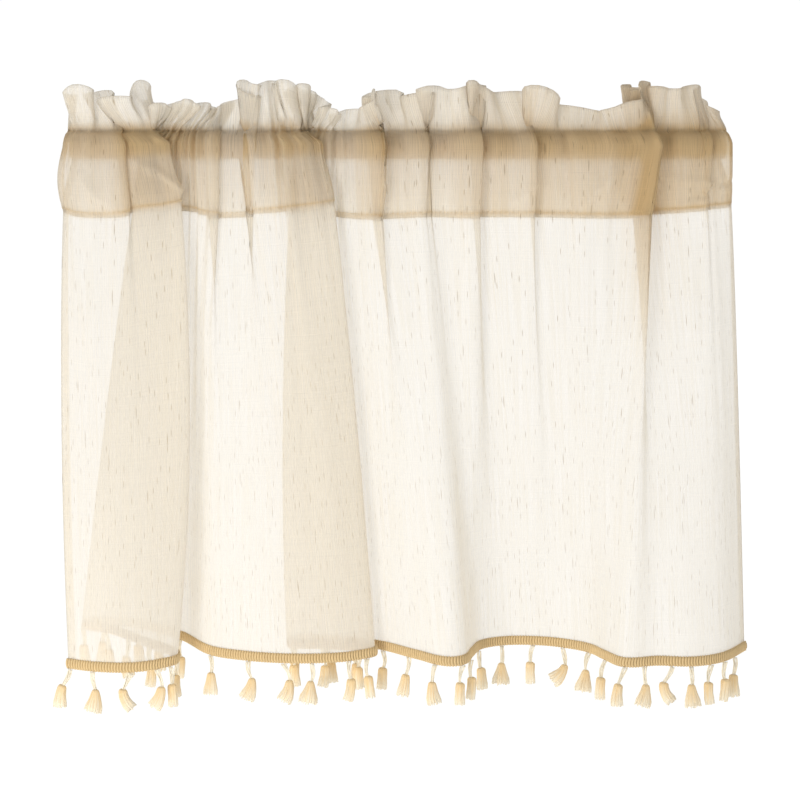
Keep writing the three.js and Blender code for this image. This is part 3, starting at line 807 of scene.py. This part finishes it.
def rod_finish(colour):
    """Bronze-brown enamel with a soft drawn grain along the rod."""
    material, nodes, shader, _ = new_finish("bronze enamel", Metallic=0.1)
    place = nodes.object_place()
    grain = nodes.streaks(place, (6.0, 900.0, 900.0), 3.0)
    mottle = nodes.noise(place, 55.0, 3.0)
    dark = tuple(0.72 * c for c in colour)
    nodes.put(shader.inputs["Base Color"], nodes.mix(nodes.ramp(mottle, 0.3, 0.7), dark, tuple(colour)))
    nodes.put(shader.inputs["Roughness"], nodes.math("MULTIPLY_ADD", grain, 0.25, 0.42))
    nodes.bump(shader, grain, 0.15, 0.0002)
    return material


# ---------------------------------------------------------------- operators


class CURTAIN_OT_panel(bpy.types.Operator):
    """Hang the sheer cloth: body, rod pocket and ruffle in one sheet with its gathers."""

    bl_idname = "curtain.panel"
    bl_label = "Hang the cloth"

    def execute(self, context):
        settings = context.scene.curtain_cloth
        _, flat, sheet, runs, bunched_and_shaded = shaped_sheet(settings.columns, settings.gather / MM)
        bm = bmesh.new()
        uv = bm.loops.layers.uv.new("UVMap")
        # Each vertex keeps its density and painted shade for the finish.
        density_and_shade = bm.verts.layers.float.new("Gathered")
        for (row, column), v in grid_on(bm, to_frame(sheet)).items():
            v[density_and_shade] = bunched_and_shaded[row, column]
            for loop in v.link_loops:
                loop[uv].uv = ((flat[column] + SIDE_HEM) / UV_SPAN, runs[row] / UV_SPAN)
        piece = piece_from(bm, "sheer_panel", cloth_finish(settings), closed=False)
        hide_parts("panel")
        return {"FINISHED"}


class CURTAIN_OT_seams(bpy.types.Operator):
    """Sew the two seams of the rod pocket with small stitches."""

    bl_idname = "curtain.seams"
    bl_label = "Sew the pocket seams"

    STITCH = (1.15, 0.28, 0.24)  # half of its length, height and depth
    STITCH_RISE = 0.25  # how far its middle stands off the cloth
    EDGE = 2.0  # how far from the cloth's edge the first one is
    BATCH = 700  # vertices that are quick to work on at a time

    def execute(self, context):
        settings, cloth_settings = context.scene.curtain_trim, context.scene.curtain_cloth
        cloth, flat, sheet, runs, _ = shaped_sheet(cloth_settings.columns, cloth_settings.gather / MM)
        pitch = settings.stitch_pitch / MM
        seam_runs = (BODY_DROP + 1.2, BODY_DROP + POCKET_RUN - 0.1)
        bm = bmesh.new()
        for row in np.searchsorted(runs, seam_runs):
            line = sheet[row]
            out = face_side(line)
            sewn = bmesh.new()
            for place in np.arange(self.EDGE, cloth.width - self.EDGE, pitch):
                centre = np.array([np.interp(place, flat, line[:, k]) for k in range(3)])
                ahead = np.array([np.interp(place + 1.0, flat, line[:, k]) for k in range(3)])
                normal = Vector([np.interp(place, flat, out[:, k]) for k in range(3)]).normalized()
                tangent = Vector(ahead - centre).normalized()
                upright = normal.cross(tangent).normalized()
                normal = tangent.cross(upright)
                spin = Matrix((tangent, upright, normal)).transposed().to_4x4()
                sizes = Matrix.Diagonal((*(size * MM for size in self.STITCH), 1.0))
                where = Matrix.Translation(Vector(to_frame(centre)) + normal * self.STITCH_RISE * MM)
                bmesh.ops.create_uvsphere(sewn, u_segments=6, v_segments=4, radius=1.0, matrix=where @ spin @ sizes)
                if len(sewn.verts) > self.BATCH:
                    sewn = gathered_into(bm, sewn)
            gathered_into(bm, sewn).free()
        finish = yarn_finish("sewing thread", settings.thread, 0.8, 0.0001)
        piece_from(bm, "pocket_stitches", finish)
        return {"FINISHED"}


class CURTAIN_OT_braid(bpy.types.Operator):
    """Sew the ribbed braid along the hem."""

    bl_idname = "curtain.braid"
    bl_label = "Sew on the braid"

    RINGS_PER_RIB = 6
    RIB_SHARPNESS = 0.7
    SCALLOP = 0.09  # how far the ribs stand out at the braid's two edges, as a share of its height
    SLANT = 0.35  # how far a rib's middle runs ahead of its ends, as a share of the pitch
    # Section of the braid, round from the lower back edge: share of the height, depth off the cloth, and how far
    # the ribs make it swell.
    SECTION = (
        (0.00, 0.9, 0.2), (0.03, 1.6, 1.2), (0.26, 2.1, 1.7), (0.50, 2.0, 1.8),
        (0.74, 2.1, 1.7), (0.97, 1.6, 1.2), (1.00, 0.9, 0.2), (0.50, 0.8, 0.0),
    )

    def execute(self, context):
        settings = context.scene.curtain_trim
        cloth = HangingCloth()
        pitch, width = settings.rib_pitch / MM, settings.width / MM
        ribs = round(cloth.width / pitch)
        along = np.linspace(0, cloth.width, ribs * self.RINGS_PER_RIB + 1)
        low, high = cloth.body(along, 1.0), cloth.body(along, 1 - width / BODY_DROP)
        out = face_side(low)
        phase = 2 * math.pi * along * ribs / cloth.width
        rib = np.abs(np.sin(phase / 2)) ** self.RIB_SHARPNESS
        rings = np.zeros((len(along), len(self.SECTION), 3))
        crowns = np.zeros(rings.shape[:2])
        for k, (share, depth, swell) in enumerate(self.SECTION):
            scallop = self.SCALLOP * (rib - 0.6) * (2 * share - 1)
            slant = self.SLANT * math.sin(math.pi * share)
            swing = np.abs(np.sin(phase / 2 + math.pi * slant)) ** self.RIB_SHARPNESS
            point = low + (high - low) * (share + scallop)[:, None]
            rings[:, k] = point + out * (depth + swell * (swing - 0.55))[:, None]
            crowns[:, k] = swing
        bm = bmesh.new()
        tube_on(bm, to_frame(rings), bm.verts.layers.float.new("Crown"), crowns)
        # The braid's hollows get painted shade.
        finish = yarn_finish("braid yarn", settings.colour, 0.84, 0.0003, groove_shade=settings.groove_shade)
        piece = piece_from(bm, "hem_gimp", finish)
        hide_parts("hem_braid")
        return {"FINISHED"}


class CURTAIN_OT_tassels(bpy.types.Operator):
    """Tie the tassels to the hem, each on a short cord of loose yarns."""

    bl_idname = "curtain.tassels"
    bl_label = "Tie on the tassels"

    HEAD_DEPTH, END_DEPTH = 0.9, 0.62  # a skirt's depth at its head and end, as a share of its width
    LEVELS = (0.0, 0.04, 0.11, 0.30, 0.52, 0.76, 1.0)
    HEAD_SHAPE = ((0, 0.04, 0.11), (0.55, 0.88, 1.0))  # levels, and shares of the head's width there
    CORE_SIDES, CORE_SHARE = 18, 0.9
    YARN_SIDES = 5
    YARN_RADII = ((0, 0.04, 0.2, 1.0), (0.30, 0.50, 0.60, 0.62))  # levels, and a yarn's radius there
    CORD_YARNS, CORD_STEPS, CORD_YARN_RADIUS = 7, 12, 0.6
    CORD_TWIST = 2 * math.pi * 0.8
    CORD_SEED = 500
    FORWARD = np.array([0.0, -1.0, 0.0])

    @staticmethod
    def direction(degrees):
        angle = math.radians(degrees)
        return np.array([math.sin(angle), 0.0, -math.cos(angle)])

    @staticmethod
    def half_width(level, width):
        """Half the skirt's width: a bound head with round shoulders, and a fan under it."""
        head = min(max(6.5 - 0.17 * width, 3.2), 4.6)
        shoulders = np.interp(level, *CURTAIN_OT_tassels.HEAD_SHAPE)
        return head * shoulders + (width / 2 - head) * smooth(level) ** 0.8

    def cord(self, bm, layer, start, lean, length, seed):
        """A slack loop of loose yarns from the braid down into the skirt."""
        rng = random.Random(seed + self.CORD_SEED)
        down, side = self.direction(lean), self.direction(lean + 90)
        bow = rng.uniform(0.6, 1.8) * rng.choice((-1, 1))
        shares = np.linspace(0, 1, self.CORD_STEPS + 1)
        for place in np.linspace(-1, 1, self.CORD_YARNS):
            twist = rng.uniform(0, 6.3)
            rings = []
            for share in shares:
                across = place * blend(2.2, 1.2, smooth(share)) + bow * math.sin(math.pi * share)
                across += 0.45 * math.sin(self.CORD_TWIST * share + twist)
                ahead = 0.75 * math.cos(self.CORD_TWIST * share + twist)
                middle = start + down * (length + 2.5) * share + side * across + self.FORWARD * ahead
                rings.append(ring(middle, side, self.FORWARD, self.CORD_YARN_RADIUS, self.YARN_SIDES))
            tube_on(bm, to_frame(np.array(rings)), layer, np.ones((len(rings), self.YARN_SIDES)))

    def build(self, bm, layer, start, cord_lean, skirt_lean, width, settings, seed):
        """One tassel: the cord, a full core, and fine yarns laid over it."""
        cord, skirt = settings.cord_length / MM, settings.length / MM
        self.cord(bm, layer, start, cord_lean, cord, seed)
        rng = random.Random(seed)
        bend = 1.15 * (skirt_lean - cord_lean)
        spine = [start + self.direction(cord_lean) * (cord - 0.6)]
        leans = []
        for before, after in zip(self.LEVELS, self.LEVELS[1:]):
            leans.append(skirt_lean + bend * (after - 0.55))
            spine.append(spine[-1] + self.direction(leans[-1]) * skirt * (after - before))
        leans.append(leans[-1])
        places = list(zip(self.LEVELS, spine, leans))
        depth = [blend(self.HEAD_DEPTH, self.END_DEPTH, level) for level in self.LEVELS]
        core = [ring(centre - self.direction(lean) * 1.5 * level, self.direction(lean + 90), self.FORWARD,
                     self.CORE_SHARE * self.half_width(level, width), self.CORE_SIDES, flat)
                for (level, centre, lean), flat in zip(places, depth)]
        # The core takes mostly the inner colour, painted shade inside the tassel; it gets lighter towards the end.
        tones = [[0.16 + 0.40 * level] * self.CORE_SIDES for level in self.LEVELS]
        tube_on(bm, to_frame(np.array(core)), layer, np.array(tones))
        for k in range(settings.strands):
            turn = 2 * math.pi * (k + rng.uniform(-0.4, 0.4)) / settings.strands
            spread = rng.uniform(0.84, 1.0)
            end = rng.uniform(-0.07, 0.05)
            sway = rng.uniform(-0.10, 0.10)
            tone = rng.uniform(-0.10, 0.12)
            rings, tones = [], []
            for (level, centre, lean), flat in zip(places, depth):
                reach = spread * self.half_width(level, width)
                sideways = self.direction(lean + 90)
                across = reach * math.cos(turn + sway * level) + 0.2 * math.sin(9 * level + turn * 3)
                ahead = reach * math.sin(turn + sway * level) * flat
                drop = self.direction(lean) * skirt * end * max(0.0, level - 0.5) * 2
                middle = centre + sideways * across + self.FORWARD * ahead + drop
                thick = np.interp(level, *self.YARN_RADII)
                rings.append(ring(middle, sideways, self.FORWARD, thick, self.YARN_SIDES))
                # Each yarn is darker towards the head, with a random tone.
                tones.append([0.22 + 0.45 * level + tone] * self.YARN_SIDES)
            tube_on(bm, to_frame(np.array(rings)), layer, np.array(tones))

    def execute(self, context):
        settings = context.scene.curtain_tassels
        cloth = HangingCloth()
        finish = yarn_finish("tassel yarn", settings.colour, 0.88, 0.0003, groove_shade=settings.heart_shade)
        for number, (steps, cord_lean, skirt_lean, width) in enumerate(TASSELS, 1):
            along = steps * ACROSS
            near = np.clip(np.array([along - 1, along, along + 1.0]), 0, cloth.width)
            line = cloth.body(near, 1.0)
            start = line[1] + face_side(line)[1] * 2.0 - np.array([0, 0, 0.1])
            bm = bmesh.new()
            self.build(bm, bm.verts.layers.float.new("Crown"), start, cord_lean, skirt_lean, width, settings, number)
            piece = piece_from(bm, f"yarn_tassel_{number:02d}", finish)
            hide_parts(f"tassel_{number:02d}")
        return {"FINISHED"}


class CURTAIN_OT_rod(bpy.types.Operator):
    """Finish the rod in bronze enamel."""

    bl_idname = "curtain.rod"
    bl_label = "Finish the rod"

    def execute(self, context):
        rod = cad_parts["rod"]
        rod.data.materials.clear()
        rod.data.materials.append(rod_finish(context.scene.curtain_stage.rod_colour))
        return {"FINISHED"}


class CURTAIN_OT_declare(bpy.types.Operator):
    """A step that leaves the scene as it is."""

    bl_idname = "curtain.declare"
    bl_label = "State the cloth's size"

    def execute(self, context):
        return {"FINISHED"}


class CURTAIN_OT_stage(bpy.types.Operator):
    """Set the pale floor, the soft light and the camera."""

    bl_idname = "curtain.stage"
    bl_label = "Set the stage"

    FLOOR_SIZE = 9.0
    BACKGROUND = 1.02  # how bright the camera sees what is around the curtain
    # Soft lights: setting of the power, place and aim from the middle of the rod, size, and colour.
    LIGHTS = (
        ("back_light", (0.0, 0.75, -0.44), (0.0, 0.0, -0.36), (1.05, 0.5), (1.0, 0.98, 0.94)),
        ("front_light", (-0.7, -1.3, -0.45), (0.0, 0.0, -0.50), (0.6, 0.6), (1.0, 0.98, 0.95)),
    )
    CAMERA_PLACE = (0.0054, -1.660, -0.041)  # from the middle of the rod
    CAMERA_TILT = math.radians(7.88)
    LENS, SENSOR = 69.57, 36.0
    MOST_LAYERS = 64  # of sheer cloth that a ray passes

    def floor(self, middle, drop):
        bm = bmesh.new()
        bmesh.ops.create_grid(bm, x_segments=24, y_segments=24, size=self.FLOOR_SIZE,
                              matrix=Matrix.Translation(middle - Vector((0, 0, drop))))
        material, nodes, shader, _ = new_finish(
            "pale floor", Roughness=0.9, Specular_IOR_Level=0.1, Emission_Color=(1, 1, 1), Emission_Strength=0.55)
        tone = nodes.mix(nodes.noise(nodes.object_place(), 3.0), (0.93, 0.93, 0.925), (0.96, 0.96, 0.955))
        nodes.put(shader.inputs["Base Color"], tone)
        object_from(bm, "floor", material)

    def light(self, name, place, aim, size, power, colour):
        lamp = bpy.data.lights.new(name, "AREA")
        lamp.shape = "RECTANGLE"
        lamp.size, lamp.size_y = size
        lamp.energy = power
        lamp.color = colour
        holder = bpy.data.objects.new(name, lamp)
        holder.location = place
        holder.rotation_euler = (aim - place).to_track_quat("-Z", "Y").to_euler()
        holder.visible_camera = False
        bpy.context.scene.collection.objects.link(holder)

    def execute(self, context):
        scene = context.scene
        settings = scene.curtain_stage
        middle = Vector((CLOTH_MIDDLE * MM, 0, 0))
        self.floor(middle, settings.floor_drop)

        world = bpy.data.worlds.new("white room")
        world.use_nodes = True
        world.node_tree.nodes.clear()
        sky = Nodes(world.node_tree)
        seen = sky.add("ShaderNodeLightPath").outputs["Is Camera Ray"]
        strength = sky.math("MULTIPLY_ADD", seen, self.BACKGROUND - settings.sky, settings.sky)
        shade = sky.add("ShaderNodeBackground", {"Color": (1, 1, 1), "Strength": strength})
        sky.add("ShaderNodeOutputWorld", {"Surface": shade.outputs[0]})
        scene.world = world

        for name, place, aim, size, colour in self.LIGHTS:
            self.light(name, middle + Vector(place), middle + Vector(aim), size, getattr(settings, name), colour)

        lens = bpy.data.cameras.new("camera")
        lens.sensor_width = self.SENSOR
        lens.lens = self.LENS
        camera = bpy.data.objects.new("camera", lens)
        camera.location = middle + Vector(self.CAMERA_PLACE)
        camera.rotation_euler = (math.pi / 2 - self.CAMERA_TILT, 0.0, 0.0)
        scene.collection.objects.link(camera)
        scene.camera = camera
        scene.view_settings.view_transform = "Standard"
        scene.cycles.transparent_max_bounces = self.MOST_LAYERS
        return {"FINISHED"}


class CURTAIN_PT_builder(bpy.types.Panel):
    """Lists the steps of building the curtain."""

    bl_idname = "CURTAIN_PT_builder"
    bl_label = "Cafe curtain"
    bl_space_type = "VIEW_3D"
    bl_region_type = "UI"
    bl_category = "Curtain"

    def draw(self, context):
        for group, kind in GROUPS.items():
            box = self.layout.box()
            for name in kind.__annotations__:
                box.prop(getattr(context.scene, group), name)
        for operator in STEPS:
            self.layout.operator(operator.bl_idname)


GROUPS = {
    "curtain_cloth": CurtainClothSettings,
    "curtain_trim": CurtainTrimSettings,
    "curtain_tassels": CurtainTasselSettings,
    "curtain_stage": CurtainStageSettings,
}
STEPS = (
    CURTAIN_OT_panel,
    CURTAIN_OT_seams,
    CURTAIN_OT_braid,
    CURTAIN_OT_tassels,
    CURTAIN_OT_rod,
    CURTAIN_OT_declare,
    CURTAIN_OT_stage,
)


def register():
    for kind in (*GROUPS.values(), *STEPS, CURTAIN_PT_builder):
        bpy.utils.register_class(kind)
    for name, kind in GROUPS.items():
        setattr(bpy.types.Scene, name, PointerProperty(type=kind))


def unregister():
    for name in GROUPS:
        delattr(bpy.types.Scene, name)
    for kind in reversed((*GROUPS.values(), *STEPS, CURTAIN_PT_builder)):
        bpy.utils.unregister_class(kind)


def main():
    register()
    bpy.ops.curtain.panel()
    bpy.ops.curtain.seams()
    bpy.ops.curtain.braid()
    bpy.ops.curtain.tassels()
    bpy.ops.curtain.rod()
    bpy.ops.curtain.declare()
    bpy.ops.curtain.stage()


if __name__ == "__main__":
    main()
